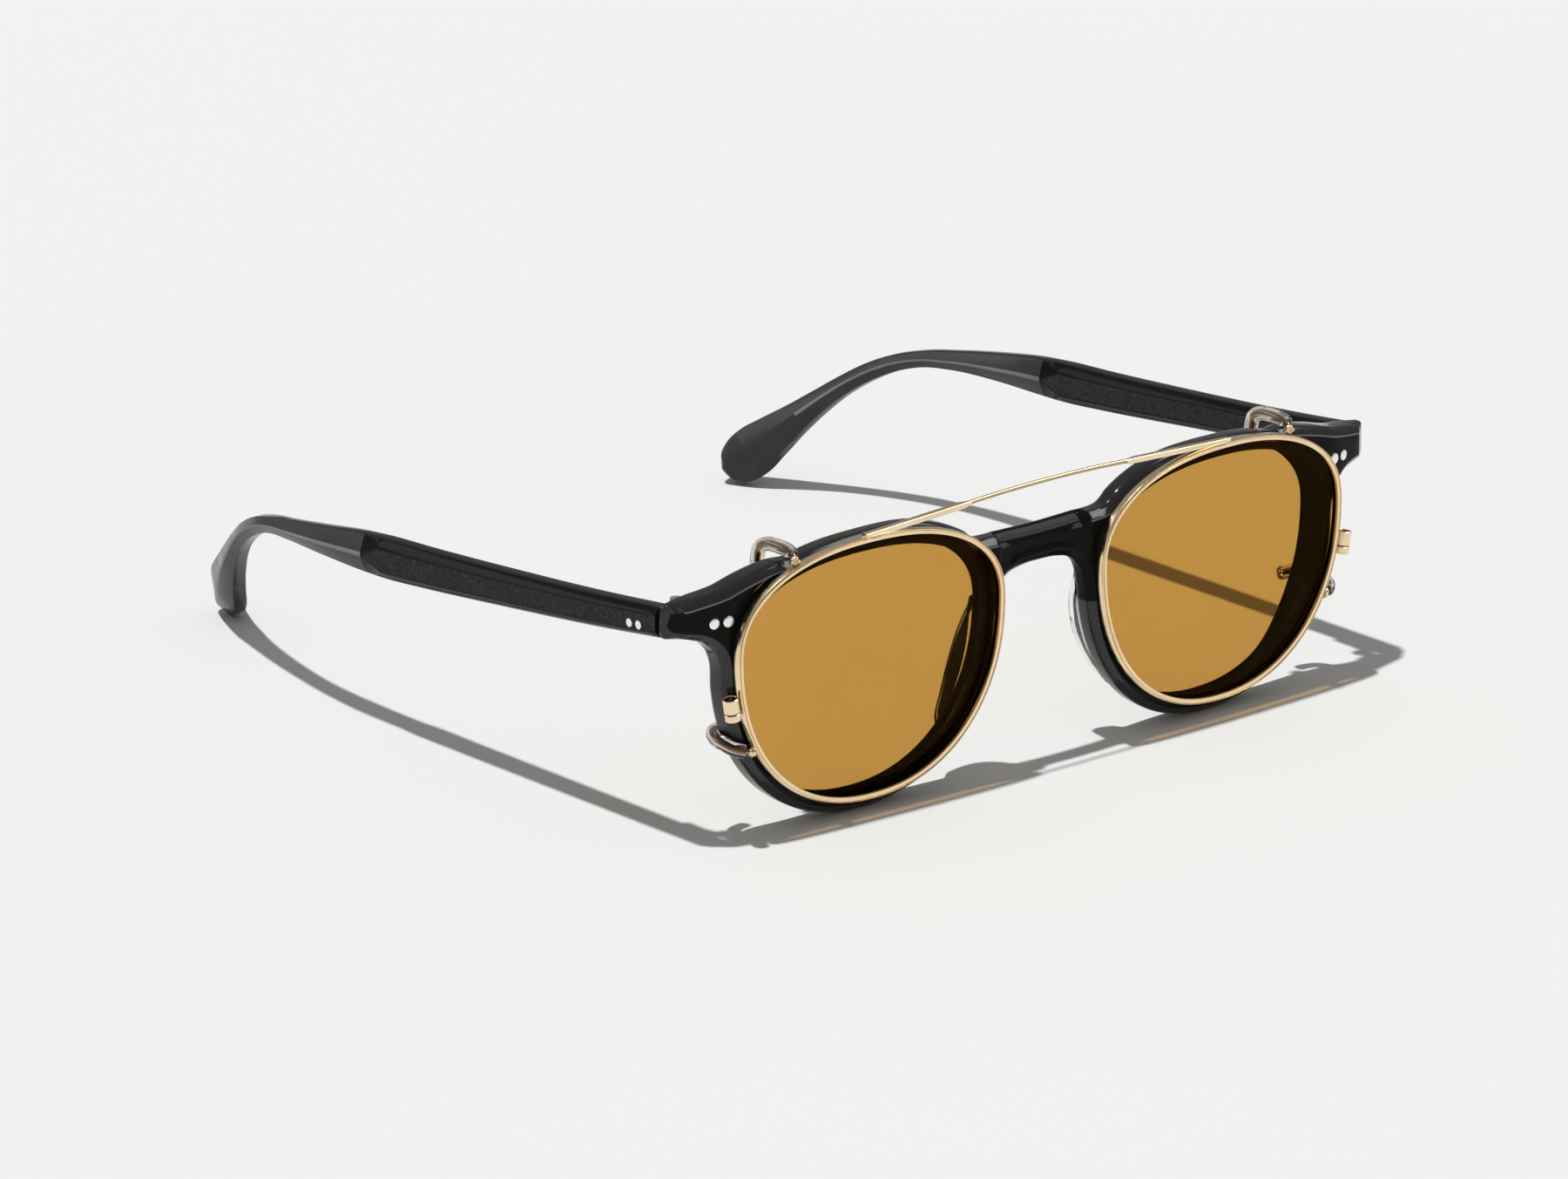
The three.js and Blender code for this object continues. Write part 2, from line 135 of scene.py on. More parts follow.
def rim_point(half, inset, angle):
    """A point of a rim's shape: two halves of superellipses that meet at SPLIT above its middle."""
    c, s = math.cos(angle), math.sin(angle)
    power = POWER_TOP if s >= 0 else POWER_BOTTOM
    up = (half[1] - SPLIT if s >= 0 else half[1] + SPLIT) - inset
    u = (half[0] - inset) * signed_power(c, 2 / power)
    v = SPLIT + up * signed_power(s, 2 / power)
    return u, v


def rim_curve(half, inset, centre_z, count):
    """Points of a rim curve for the wearer's left, with even steps of length."""
    fine = [rim_point(half, inset, 2 * math.pi * i / 1440) for i in range(1440)]
    points = even([Vector(p) for p in fine], count, closed=True)
    return [(p.x + LENS_X, p.y + centre_z) for p in points]


def even(points, count, closed=False):
    """count points at equal distances along a polyline."""
    line = list(points) + ([points[0]] if closed else [])
    far = [0.0]
    for a, b in zip(line, line[1:]):
        far.append(far[-1] + (b - a).length)
    steps = count if closed else count - 1
    out, k = [], 0
    for i in range(count):
        want = far[-1] * i / steps
        while k < len(far) - 2 and far[k + 1] < want:
            k += 1
        span = max(far[k + 1] - far[k], 1e-9)
        out.append(line[k].lerp(line[k + 1], min(1.0, (want - far[k]) / span)))
    return out


def spline(points, t, power=1.0):
    """A Catmull-Rom curve whose pace follows the distances between its points."""
    last = len(points) - 1
    k = min(int(t * last), last - 1)
    w = t * last - k
    p1, p2 = points[k], points[k + 1]
    p0 = points[k - 1] if k > 0 else 2 * p1 - p2
    p3 = points[k + 2] if k + 2 <= last else 2 * p2 - p1
    d0, d1, d2 = ((b - a).length ** power or 1.0 for a, b in ((p0, p1), (p1, p2), (p2, p3)))
    m1 = ((p1 - p0) / d0 - (p2 - p0) / (d0 + d1) + (p2 - p1) / d1) * d1
    m2 = ((p2 - p1) / d1 - (p3 - p1) / (d1 + d2) + (p3 - p2) / d2) * d1
    return (
        p1 + m1 * w + (3 * (p2 - p1) - 2 * m1 - m2) * w**2 + (2 * (p1 - p2) + m1 + m2) * w**3
    )


def through(points, count, power=1.0):
    """A smooth curve through the points, as count points at equal distances."""
    vectors = [Vector(p) for p in points]
    fine = [spline(vectors, i / 600, power) for i in range(601)]
    return even(fine, count)


def rounded(points, radius, steps=3, closed=True):
    """A polygon with each of its corners rounded off."""
    out = []
    n = len(points)
    for i, corner in enumerate(points):
        corner = Vector(corner)
        if not closed and i in (0, n - 1):
            out.append(corner)
            continue
        before = Vector(points[i - 1]) - corner
        after = Vector(points[(i + 1) % n]) - corner
        reach = min(radius, before.length * 0.45, after.length * 0.45)
        a = corner + before.normalized() * reach
        b = corner + after.normalized() * reach
        for k in range(steps + 1):
            t = k / steps
            out.append((1 - t) ** 2 * a + 2 * t * (1 - t) * corner + t * t * b)
    return out


# ---------------------------------------------------------------- pieces


def make(name, verts, faces, materials, body, replaced=(), sharp=32, choose=None):
    """A mesh object from millimetres, riding on a body. choose gives a face's material number."""
    mesh = bpy.data.meshes.new(name)
    mesh.from_pydata([(x * MM, (y + SHIFT_Y) * MM, z * MM) for x, y, z in verts], [], faces)
    for material in materials if isinstance(materials, (list, tuple)) else [materials]:
        mesh.materials.append(material)
    if choose:
        for face, number in zip(mesh.polygons, choose):
            face.material_index = number
    work = bmesh.new()
    work.from_mesh(mesh)
    bmesh.ops.remove_doubles(work, verts=work.verts, dist=1e-7)
    bmesh.ops.dissolve_degenerate(work, edges=work.edges, dist=1e-7)
    bmesh.ops.recalc_face_normals(work, faces=work.faces)
    work.to_mesh(mesh)
    work.free()
    mesh.shade_smooth()
    mesh.set_sharp_from_angle(angle=math.radians(sharp))
    piece = bpy.data.objects.new(name, mesh)
    bpy.context.scene.collection.objects.link(piece)
    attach(piece, body)
    if replaced:
        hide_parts(*replaced)
    return piece


def pair(name, build, materials, body, replaced=(), sharp=32):
    """The wearer's left piece as built, and its mirror image."""
    for word, side in SIDES.items():
        verts, faces, *choice = build()
        verts = [(side * x, y, z) for x, y, z in verts]
        make(
            f"{name}_{word}",
            verts,
            faces,
            materials,
            body.format(word),
            [f"{r}_{word}" for r in replaced],
            sharp,
            choice[0] if choice else None,
        )


def skin(loops, section_closed=False, ends=False):
    """Quads between closed loops of equal length, with a flat face over each end if asked."""
    n = len(loops[0])
    verts = [tuple(p) for loop in loops for p in loop]
    faces = []
    count = len(loops) if section_closed else len(loops) - 1
    for j in range(count):
        k = (j + 1) % len(loops)
        for i in range(n):
            m = (i + 1) % n
            faces.append((j * n + i, j * n + m, k * n + m, k * n + i))
    if ends:
        faces.append(tuple(range(n)))
        faces.append(tuple((len(loops) - 1) * n + i for i in range(n)))
    return verts, faces


def join(*parts):
    """Several closed shapes as one list of vertices and faces."""
    verts, faces = [], []
    for more_verts, more_faces in parts:
        start = len(verts)
        verts += more_verts
        faces += [tuple(i + start for i in face) for face in more_faces]
    return verts, faces


def frames_along(path):
    """Two directions across a path at each of its points, turned as little as possible."""
    out = []
    across = None
    for i, point in enumerate(path):
        ahead = path[min(i + 1, len(path) - 1)] - path[max(i - 1, 0)]
        ahead.normalize()
        if across is None:
            across = ahead.cross(Vector((0.3, 0.2, 1))).normalized()
        across = (across - ahead * across.dot(ahead)).normalized()
        out.append((point, across, ahead.cross(across)))
    return out


def circle(centre, a, b, radius, sides):
    """Points of a circle in the plane of the directions a and b."""
    angles = (2 * math.pi * k / sides for k in range(sides))
    return [centre + (a * math.cos(angle) + b * math.sin(angle)) * radius for angle in angles]


def tube(path, radii, sides=16):
    """A closed round bar along a path, with one radius for each point."""
    loops = []
    for (point, a, b), radius in zip(frames_along(path), radii):
        loops.append(circle(point, a, b, radius, sides))
    return skin(loops, ends=True)


def round_ends(path, radius, cap=4):
    """The path and its radii, with a dome at each end."""
    start, finish = (path[0] - path[1]).normalized(), (path[-1] - path[-2]).normalized()
    angles = [math.pi / 2 * (k + 0.6) / (cap + 0.6) for k in range(cap)]
    before = [path[0] + start * radius * math.cos(a) for a in angles]
    after = [path[-1] + finish * radius * math.cos(a) for a in reversed(angles)]
    ends = [radius * math.sin(a) for a in angles]
    return before + list(path) + after, ends + [radius] * len(path) + ends[::-1]


def lathe(profile, centre, axis, sides=36):
    """A turned shape. profile is a list of (radius, distance along the axis)."""
    axis = Vector(axis).normalized()
    a = axis.cross(Vector((0.31, 0.17, 0.93))).normalized()
    b = axis.cross(a)
    loops = []
    for radius, along in profile:
        loops.append(circle(Vector(centre) + axis * along, a, b, max(radius, 1e-3), sides))
    return skin(loops, ends=True)


# ---------------------------------------------------------------- materials


class Look:
    """One Principled material and the nodes that pattern it."""

    def __init__(self, name):
        self.material = bpy.data.materials.new(name)
        self.material.use_nodes = True
        self.tree = self.material.node_tree
        self.shader = self.tree.nodes["Principled BSDF"]
        self.place = self.node("ShaderNodeTexCoord").outputs["Object"]

    def node(self, kind, **values):
        made = self.tree.nodes.new(kind)
        for key, value in values.items():
            if key in made.inputs:
                made.inputs[key].default_value = value
            else:
                setattr(made, key, value)
        return made

    def link(self, out, socket):
        self.tree.links.new(out, socket)

    def set(self, **values):
        for key, value in values.items():
            self.shader.inputs[key.replace("_", " ")].default_value = value
        return self

    def noise(self, scale, detail=3.0, stretch=(1, 1, 1)):
        mapping = self.node("ShaderNodeMapping")
        mapping.inputs["Scale"].default_value = stretch
        self.link(self.place, mapping.inputs["Vector"])
        noise = self.node("ShaderNodeTexNoise", Scale=scale, Detail=detail)
        self.link(mapping.outputs["Vector"], noise.inputs["Vector"])
        return noise.outputs["Fac"]

    def ramp(self, value, low, high, start=0.3, stop=0.7):
        """Spreads a pattern's value between two numbers."""
        node = self.node("ShaderNodeMapRange")
        ends = {"From Min": start, "From Max": stop, "To Min": low, "To Max": high}
        for key, number in ends.items():
            node.inputs[key].default_value = number
        self.link(value, node.inputs["Value"])
        return node.outputs["Result"]

    def colours(self, value, dark, light, start=0.3, stop=0.7):
        node = self.node("ShaderNodeValToRGB")
        node.color_ramp.elements[0].position = start
        node.color_ramp.elements[1].position = stop
        node.color_ramp.elements[0].color = (*dark, 1)
        node.color_ramp.elements[1].color = (*light, 1)
        self.link(value, node.inputs["Fac"])
        self.link(node.outputs["Color"], self.shader.inputs["Base Color"])
        return self

    def rough(self, value, low, high):
        self.link(self.ramp(value, low, high), self.shader.inputs["Roughness"])
        return self

    def bump(self, value, height_mm, strength=1.0):
        node = self.node("ShaderNodeBump", Strength=strength, Distance=height_mm * MM)
        self.link(value, node.inputs["Height"])
        self.link(node.outputs["Normal"], self.shader.inputs["Normal"])
        return self


def acetate_look(name, dark, light, rough_low, rough_high, ior=1.15):
    look = Look(name).set(IOR=ior)
    look.colours(look.noise(90, 4, (1, 0.35, 1)), dark, light)
    look.rough(look.noise(420, 3), rough_low, rough_high)
    look.bump(look.noise(160, 2), 0.02, 0.35)
    return look.material


def shade_look(name, dark, light):
    """Dull, dark and without shine: painted shade for walls that only show in the shade behind the
    tinted lenses.
    """
    look = Look(name).set(Specular_IOR_Level=0.0)
    look.colours(look.noise(90, 3), dark, light)
    look.rough(look.noise(420, 3), 0.5, 0.7)
    look.bump(look.noise(160, 2), 0.02, 0.35)
    return look.material


def matte_look(name):
    look = Look(name).set(IOR=1.25)
    grain = look.noise(2600, 3)
    look.colours(grain, (0.013, 0.013, 0.014), (0.038, 0.038, 0.040), 0.38, 0.66)
    look.rough(look.noise(900, 2), 0.6, 0.75)
    look.bump(grain, 0.03, 0.6)
    return look.material


def gold_look(name, dark, light):
    look = Look(name).set(Metallic=1.0)
    look.colours(look.noise(130, 3), dark, light)
    look.rough(look.noise(700, 4), 0.16, 0.27)
    look.bump(look.noise(1500, 2), 0.006, 0.4)
    return look.material


def steel_look(name, tone=0.72):
    look = Look(name).set(Metallic=1.0)
    look.colours(look.noise(300, 3), (tone - 0.06,) * 3, (tone + 0.06,) * 3)
    look.rough(look.noise(900, 3, (1, 1, 6)), 0.22, 0.38)
    look.bump(look.noise(2200, 2), 0.006, 0.4)
    return look.material


def clear_look(name, tint, rough_low, rough_high, ior):
    look = Look(name).set(Transmission_Weight=1.0, IOR=ior)
    low = tuple(c * 0.97 for c in tint)
    look.colours(look.noise(120, 2), low, tint)
    look.rough(look.noise(400, 2), rough_low, rough_high)
    look.bump(look.noise(260, 2), 0.01, 0.3)
    return look.material


def tinted_pane(name, dark, light, shine):
    """A thin tinted lens: light passes straight through, with a faint mirror on top."""
    look = Look(name)
    tree = look.tree
    tint = look.node("ShaderNodeValToRGB")
    tint.color_ramp.elements[0].color = (*dark, 1)
    tint.color_ramp.elements[1].color = (*light, 1)
    look.link(look.noise(60, 2), tint.inputs["Fac"])
    through_it = look.node("ShaderNodeBsdfTransparent")
    look.link(tint.outputs["Color"], through_it.inputs["Color"])
    mirror = look.node("ShaderNodeBsdfGlossy", Roughness=0.04)
    look.link(look.ramp(look.noise(300, 2), 0.03, 0.06), mirror.inputs["Roughness"])
    fresnel = look.node("ShaderNodeFresnel", IOR=1.5)
    scaled = look.node("ShaderNodeMath", operation="MULTIPLY")
    scaled.inputs[1].default_value = shine
    look.link(fresnel.outputs["Fac"], scaled.inputs[0])
    mixer = look.node("ShaderNodeMixShader")
    look.link(scaled.outputs["Value"], mixer.inputs["Fac"])
    look.link(through_it.outputs["BSDF"], mixer.inputs[1])
    look.link(mirror.outputs["BSDF"], mixer.inputs[2])
    tree.nodes.remove(look.shader)
    look.link(mixer.outputs["Shader"], tree.nodes["Material Output"].inputs["Surface"])
    return look.material


BLACK = ((0.0055, 0.0055, 0.006), (0.010, 0.010, 0.011))
ACETATE = acetate_look("polished_acetate", *BLACK, 0.07, 0.12)
# Painted sheen: the front's outer walls get a lighter copy of the acetate, as well as a stronger
# real shine.
PAINTED_SHEEN_BLACK = ((0.012, 0.012, 0.013), (0.022, 0.022, 0.024))
PAINTED_SHEEN_EDGE = acetate_look("polished_edge_painted_sheen", *PAINTED_SHEEN_BLACK, 0.1, 0.16, ior=1.45)
# Painted highlight: a grey copy of the acetate along the brow's upper front edge.
PAINTED_GLINT_GREY = ((0.13, 0.13, 0.132), (0.20, 0.20, 0.204))
PAINTED_GLINT = acetate_look("painted_highlight_edge", *PAINTED_GLINT_GREY, 0.12, 0.2, ior=1.45)
# Painted shade: a darker, dull copy of the acetate for the inner walls of the lens openings.
PAINTED_SHADE_WALL = shade_look("inner_wall_painted_shade", (0.0022, 0.0014, 0.0010), (0.0040, 0.0026, 0.0016))
# Painted sheen: the arms' sides and underside behind the panel are a lighter grey than their black
# top, standing in for reflection and light through the thin acetate.
PAINTED_SHEEN_GREY = ((0.032, 0.032, 0.033), (0.058, 0.058, 0.060))
PAINTED_SHEEN_TIP = acetate_look("arm_painted_sheen", *PAINTED_SHEEN_GREY, 0.16, 0.26, ior=1.25)
# Painted highlight: a light grey line along the arm's ridge behind the panel.
RIDGE_HIGHLIGHT_GREY = acetate_look("ridge_painted_highlight", (0.16, 0.16, 0.165), (0.26, 0.26, 0.265), 0.2, 0.3)
MATTE = matte_look("matte_panel")
GOLD = gold_look("pale_gold", (0.84, 0.66, 0.42), (0.93, 0.76, 0.52))
# Painted shade: the round brow wire is a darker copy of the pale gold that its feet have.
SHADED_WIRE_GOLD = gold_look("wire_gold_painted_shade", (0.50, 0.36, 0.19), (0.60, 0.45, 0.26))
CORE = gold_look("shaded_gold", (0.30, 0.20, 0.11), (0.42, 0.30, 0.17))
# Painted shade: dark brown without shine for the gold rim's lens seat.
PAINTED_SHADE_SEAT = shade_look("lens_seat_painted_shade", (0.010, 0.007, 0.003), (0.018, 0.012, 0.006))
# Painted shade: the screw in the block's recess is a dark brown gold.
SHADED_SCREW_GOLD = gold_look("screw_painted_shade", (0.10, 0.055, 0.03), (0.20, 0.12, 0.07))
STEEL = steel_look("steel")
SILVER = steel_look("bright_rivet", 0.9)
PAD = clear_look("clear_acetate", (0.95, 0.95, 0.94), 0.03, 0.08, 1.49)
SLEEVE = clear_look("clear_sleeve", (0.76, 0.71, 0.65), 0.05, 0.12, 1.38)
AMBER = tinted_pane("amber_lens", (0.774, 0.565, 0.270), (0.788, 0.575, 0.276), 0.02)
CLEAR = tinted_pane("clear_lens", (0.97, 0.975, 0.97), (0.99, 0.99, 0.99), 0.02)


# ---------------------------------------------------------------- acetate front

BRIDGE_TOP = 36.9
BRIDGE_LOW = 31.2
BROW_SWELL = 0.5
LOWER_COUNT = 520
UPPER_COUNT = 420


def front_outline():
    """The whole outline as evenly spaced points, anticlockwise.

    The lower run goes from the middle of the bridge round the rim to the end piece, the upper one
    back over the brow. A few mirrored points carry each curve past the middle.
    """

    def rim(start, stop, step):
        count = int(abs(stop - start) / step) + 1
        for i in range(count):
            angle = start + step * i
            swell = BROW_SWELL * smooth(85, 115, angle) * smooth(160, 150, angle)
            u, v = rim_point(FRONT_HALF, -swell, math.radians(angle))
            yield (u + LENS_X, v + FRONT_Z)

    under = [(0, 0), (3.2, -0.15), (6, -0.9), (7.8, -2.6)]
    low = [(x, BRIDGE_LOW + dz) for x, dz in under] + list(rim(184, 364, 8))
    low += [(61.2, 29.7), (63.1, 31.4), (66, 32.2), (69.4, 32.7)]
    high = [(69.1, 37.6), (66.5, 38.0), (61, 38.9), (56, 40.2), (50.5, 41.3)]
    high += rim(64, 144, 8)
    high += [(8.6, BRIDGE_TOP), (4.3, BRIDGE_TOP - 0.1), (0, BRIDGE_TOP - 0.15)]
    mirror_low = [(-x, z) for x, z in low[1:4]][::-1]
    mirror_high = [(-x, z) for x, z in high[-3:-1]][::-1]
    lower = through([*mirror_low, *low], LOWER_COUNT, 0.5)
    upper = through([*high, *mirror_high], UPPER_COUNT, 0.5)
    half = [p for p in lower if p.x >= 0] + [p for p in upper if p.x >= 0]
    other = [Vector((-p.x, p.y)) for p in reversed(half) if p.x > 0.05]
    return half + other


def outward(points):
    """Unit normals of a closed anticlockwise outline, longer at corners to keep widths true."""
    out = []
    n = len(points)
    for i, p in enumerate(points):
        a = (p - points[i - 1]).normalized()
        b = (points[(i + 1) % n] - p).normalized()
        na, nb = Vector((a.y, -a.x)), Vector((b.y, -b.x))
        middle = (na + nb).normalized()
        out.append(middle / max(0.5, middle.dot(na)))
    return out


def sharp_turns(points, least=0.6):
    """The numbers of an outline's corners, each with the angle it turns."""
    n = len(points)
    found = {}
    for i, p in enumerate(points):
        before, after = p - points[i - 1], points[(i + 1) % n] - p
        turn = math.atan2(before.x * after.y - before.y * after.x, before.dot(after))
        if turn > least:
            found[i] = turn
    return found


CORNER_NEAR = 9
CORNER_ROUNDS = 4


def inset_loop(points, normals, depths):
    """Moves an outline inward, each point by its own depth.

    Points that would cross over at a corner meet in it, and the points near it are then eased.
    """
    n = len(points)
    out = [p - q * d for p, q, d in zip(points, normals, depths)]
    for corner, turn in sharp_turns(points).items():
        reach = depths[corner] * math.tan(turn / 2)
        for step in (-1, 1):
            k = (corner + step) % n
            while (points[k] - points[corner]).length < reach:
                out[k] = out[corner].copy()
                k = (k + step) % n
        near = [(corner + k) % n for k in range(-CORNER_NEAR, CORNER_NEAR + 1)]
        for _ in range(CORNER_ROUNDS):
            eased = [0.25 * out[k - 1] + 0.5 * out[k] + 0.25 * out[(k + 1) % n] for k in near]
            for k, p in zip(near, eased):
                out[k] = p
    return out


# Sections of the front as (distance inward from the outline, y), from the front face to the back.
FRONT_PROFILE = [
    (1.42, FRONT_Y), (1.18, 1.35), (0.35, 1.95), (0, 2.5), (0, 4.25), (0.3, 4.95), (0.8, BACK_Y),
]
BRIDGE_PROFILE = [
    (1.5, 2.8), (1.35, 2.84), (0.95, 3.15), (0.5, 3.75), (0.1, 4.35), (0.15, 4.95), (0.7, BACK_Y),
]
HOLE_PROFILE = [
    (0.45, FRONT_Y), (0.1, 1.5), (0, 1.8), (0, 2.95), (0.9, 3.1),
    (0.9, 4.5), (0, 4.65), (0, 5.1), (0.3, BACK_Y),
]
BRIDGE_END = 9.1
BRIDGE_BLEND = 1.1
BRIDGE_BACK = 0.8
BRIDGE_HOLLOW = 0.45
HOLLOW_HALF = 2.5
HOLLOW_SPAN = (8.6, 5)
HOLE_NARROW = 1.2
HOLE_NARROW_SPAN = (44, 56)
HOLE_NARROW_DEPTHS = (4.4, 4.7)
HOLE_COUNT = 200
FACE_BEVEL = 0.06
# Where the painted highlight runs: up-facing facets of the front bevel, short of the end pieces.
PAINTED_GLINT_END = 66.5
PAINTED_GLINT_UP = 0.6
FRONT_LOOKS = [ACETATE, PAINTED_SHEEN_EDGE, PAINTED_SHADE_WALL, PAINTED_GLINT]
POLISHED, SHEEN_SIDE, SHADED_WALL, PAINTED_HIGHLIGHT = range(4)


def bridge_share(x):
    """1 on the bridge, 0 on the rims, with a narrow slope between."""
    return min(1.0, max(0.0, (BRIDGE_END - abs(x)) / BRIDGE_BLEND))


def cap_place(x, y, z):
    """A point of the flat front, which is set back and hollowed on the bridge."""
    share = bridge_share(x)
    middle = (BRIDGE_TOP + BRIDGE_LOW) / 2
    hollow = max(0.0, 1 - ((z - middle) / HOLLOW_HALF) ** 2)
    if y < BACK_FROM:
        y += share * (BRIDGE_BACK + BRIDGE_HOLLOW * hollow * smooth(*HOLLOW_SPAN, abs(x)))
    return front_place(x, y, z)


def cap_faces(loops, extra):
    """Triangles over the flat region inside the first loop and outside the others."""
    coords, edges = [], []
    for loop in loops:
        start = len(coords)
        coords += loop
        edges += [(start + i, start + (i + 1) % len(loop)) for i in range(len(loop))]
    coords += extra
    verts, _, faces, origin, _, _ = delaunay_2d_cdt(coords, edges, [], 0, 1e-5)
    kept = []
    for face in faces:
        middle = sum((verts[i] for i in face), Vector((0, 0))) / len(face)
        if inside(middle, loops[0]) and not any(inside(middle, hole) for hole in loops[1:]):
            kept.append([origin[i][0] for i in face])
    return kept


def inside(p, loop):
    """Whether a point lies within a closed loop."""
    odd = False
    for i, a in enumerate(loop):
        b = loop[i - 1]
        if (a.y > p.y) != (b.y > p.y):
            if p.x < (b.x - a.x) * (p.y - a.y) / (b.y - a.y) + a.x:
                odd = not odd
    return odd


def hole_ring(inset, y, side):
    """A ring of a lens opening, which narrows toward the back on the temple side."""
    points = []
    for x, z in rim_curve(OPENING_HALF, inset, FRONT_Z, HOLE_COUNT):
        x -= HOLE_NARROW * smooth(*HOLE_NARROW_SPAN, x) * smooth(*HOLE_NARROW_DEPTHS, y)
        points.append(Vector((side * x, z)))
    return points


def front_material(x, y, normal):
    """The material number of a side facet of the front. The brow's front edge gets a painted
    highlight.
    """
    if bridge_share(x) > 0:
        return POLISHED
    if y < FRONT_Y + FACE_BEVEL:
        # Up-facing facets of the front bevel take the painted highlight.
        return PAINTED_HIGHLIGHT if normal.y > PAINTED_GLINT_UP and abs(x) < PAINTED_GLINT_END else POLISHED
    # The other outer walls take the lighter acetate of painted sheen.
    return SHEEN_SIDE


def ring_quads(first, rows, count):
    """Quads between rows of count vertices each, the first of them numbered first."""
    for j in range(rows - 1):
        a, b = first + j * count, first + (j + 1) * count
        for i in range(count):
            k = (i + 1) % count
            yield (a + i, a + k, b + k, b + i)


def front_sides(outline, normals, profile):
    """The loops that go round the outside of the front, as (place, y) pairs.

    The bridge's top has its own section, and its underside is pushed back near the front face.
    """
    bridge = rounded(BRIDGE_PROFILE, 0.14, 2, closed=False)
    top = [bridge_share(p.x) * smooth(0.3, 0.7, n.y) for p, n in zip(outline, normals)]
    low = [bridge_share(p.x) * smooth(-0.3, -0.7, n.y) for p, n in zip(outline, normals)]
    loops = []
    for (inset, y), (bridge_inset, bridge_y) in zip(profile, bridge):
        deep = [mix(inset, bridge_inset, t) for t in top]
        push = BRIDGE_BACK * max(0.0, min(1.0, (4 - y) / 2))
        back = [mix(y, bridge_y, t) + push * u for t, u in zip(top, low)]
        loops.append(list(zip(inset_loop(outline, normals, deep), back)))
    return loops


def cap_points():
    """Points inside the flat faces, on the bridge and the end pieces, where they bend."""
    points = [Vector((x, 32.4 + 0.6 * k)) for x in range(-9, 10) for k in range(8)]
    for x in (60, 62, 64, 65.9, 66.1, 67, 68):
        points += [Vector((side * x, 33.1 + 0.8 * k)) for k in range(6) for side in (1, -1)]
    return points


def build_front():
    """The acetate front: its sides, the two lens openings, and the flat faces between them."""
    outline = front_outline()
    normals = outward(outline)
    count = len(outline)
    profile = rounded(FRONT_PROFILE, 0.14, 2, closed=False)
    loops = front_sides(outline, normals, profile)
    verts = [front_place(q.x, y, q.y) for loop in loops for q, y in loop]
    faces = list(ring_quads(0, len(loops), count))
    choice = []
    for (_, y), (_, next_y) in zip(profile, profile[1:]):
        choice += [front_material(p.x, (y + next_y) / 2, n) for p, n in zip(outline, normals)]

    hole_profile = rounded(HOLE_PROFILE, 0.1, 2, closed=False)
    rows = len(hole_profile)
    starts = {}
    for side in (1, -1):
        starts[side] = len(verts)
        faces += ring_quads(len(verts), rows, HOLE_COUNT)
        for inset, y in hole_profile:
            verts += [front_place(p.x, y, p.y) for p in hole_ring(-inset, y, side)]
        for _, y in hole_profile[:-1]:
            # Behind the front face the openings' walls take the painted shade.
            choice += [SHADED_WALL if y > FRONT_Y + 0.1 else POLISHED] * HOLE_COUNT

    for row, hole_row in ((0, 0), (len(loops) - 1, rows - 1)):
        inset, hole_y = hole_profile[hole_row]
        rings = [[q for q, _ in loops[row]]]
        ids = [row * count + i for i in range(count)]
        for side, start in starts.items():
            rings.append(hole_ring(-inset, hole_y, side))
            ids += [start + hole_row * HOLE_COUNT + i for i in range(HOLE_COUNT)]
        extra = [p for p in cap_points() if clear_of(p, rings)]
        ids += [len(verts) + i for i in range(len(extra))]
        verts += [cap_place(p.x, profile[row][1], p.y) for p in extra]
        kept = cap_faces(rings, extra)
        faces += [tuple(ids[i] for i in face) for face in kept]
        choice += [POLISHED] * len(kept)
    return verts, faces, choice


def clear_of(p, rings, gap=0.5):
    """Whether a point lies within the flat face and away from all of its edges."""
    if not inside(p, rings[0]) or any(inside(p, ring) for ring in rings[1:]):
        return False
    return all((p - q).length > gap for ring in rings for q in ring)


front_verts, front_faces, front_choice = build_front()
make(
    "acetate_front", front_verts, front_faces, FRONT_LOOKS,
    "frame", ["frame_front"], 24, front_choice,
)


# ---------------------------------------------------------------- lenses


def disc(half, centre_z, inset, y, thick, bulge):
    """A lens with the rim's curve, slightly domed toward the front."""
    count = 120
    shares = [0.995, 0.9, 0.75, 0.55, 0.3, 0.02]
    edge = rim_curve(half, inset, centre_z, count)

    def loop(share, depth):
        points = []
        for x, z in edge:
            u = LENS_X + (x - LENS_X) * share
            v = centre_z + (z - centre_z) * share
            points.append(wrapped(u, y + depth - bulge * (1 - share**2), v))
        return points

    loops = [loop(s, 0) for s in reversed(shares)] + [loop(1, 0.08), loop(1, thick - 0.08)]
    loops += [loop(s, thick) for s in shares]
    return skin(loops, ends=True)


pair(
    "clear_lens",
    lambda: disc(OPENING_HALF, FRONT_Z, inset=-0.6, y=3.3, thick=1.0, bulge=0.25),
    CLEAR, "frame", ["lens"], 50,
)
pair(
    "sun_lens",
    lambda: disc(CLIP_HALF, CLIP_Z, inset=0.8, y=-0.22, thick=0.44, bulge=0.2),
    AMBER, "clip", ["clip_lens"], 50,
)


# ---------------------------------------------------------------- nose pads

PAD_THICK = 2.2
PAD_SPLAY = 0.15
PAD_IN = 0.4
PAD_Y = BACK_Y - 0.1
PAD_EDGE = [(7.0, 9.2), (8.1, 12.6), (8.55, 16.8), (8.1, 20.9), (7.0, 24.2)]
PAD_ENDS = (7.6, 27.4)
